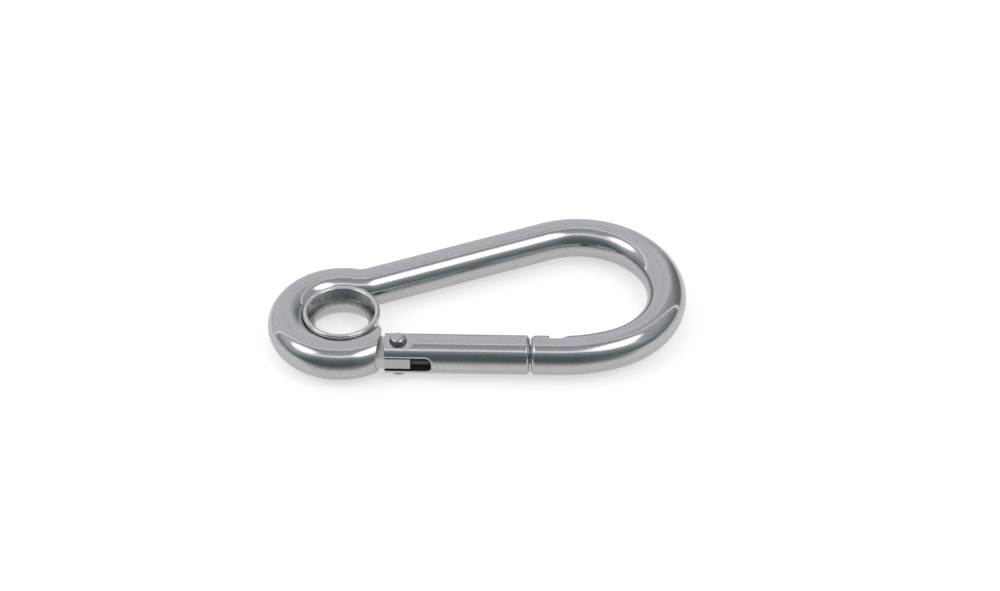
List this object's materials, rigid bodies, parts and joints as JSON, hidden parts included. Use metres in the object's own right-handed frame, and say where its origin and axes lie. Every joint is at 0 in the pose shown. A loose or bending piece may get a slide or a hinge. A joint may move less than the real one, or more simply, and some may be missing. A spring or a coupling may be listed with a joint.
{
  "type": "eye snap hook",
  "caption": "Round-bar snap hook with an eyelet seated in its closed ring and a sprung, riveted gate that folds inwards past a slotted nose.",
  "frame": {"origin": "centre of the eyelet's throat, on the hook's mid-plane", "axes": "+X towards the hook's wide end, along the gate; +Z along the eyelet's axis; the gate is on the -Y side"},
  "size_m": [0.08, 0.0437, 0.0088],
  "materials": {
    "bar_steel": "tumble-polished stainless steel",
    "eyelet_steel": "polished stainless steel",
    "gate_steel": "polished stainless steel",
    "rivet_steel": "polished stainless steel",
    "plunger_steel": "turned stainless steel",
    "spring_steel": "drawn spring wire"
  },
  "bodies": {
    "hook": {"body": "bar_steel", "eyelet": "eyelet_steel"},
    "gate": {"gate": "gate_steel", "hinge_rivet": "rivet_steel", "spring": "spring_steel"},
    "plunger": {"plunger": "plunger_steel"}
  },
  "joints": [
    {"name": "gate_hinge", "type": "hinge", "parent": "hook", "child": "gate", "pos_m": [0.0112, -0.0081, 0], "axis": [0, 0, 1], "range_deg": [0, 40], "stiffness_Nm_per_rad": 0.05, "springref_deg": -57.3},
    {"name": "plunger_slide", "type": "slide", "parent": "gate", "child": "plunger", "axis": [1, 0, 0], "range_m": [0, 0.00085], "deforming": ["spring"]}
  ],
  "couplings": [
    {"joint": "plunger_slide", "follows": "gate_hinge", "m_per_rad": 0.0012}
  ]
}
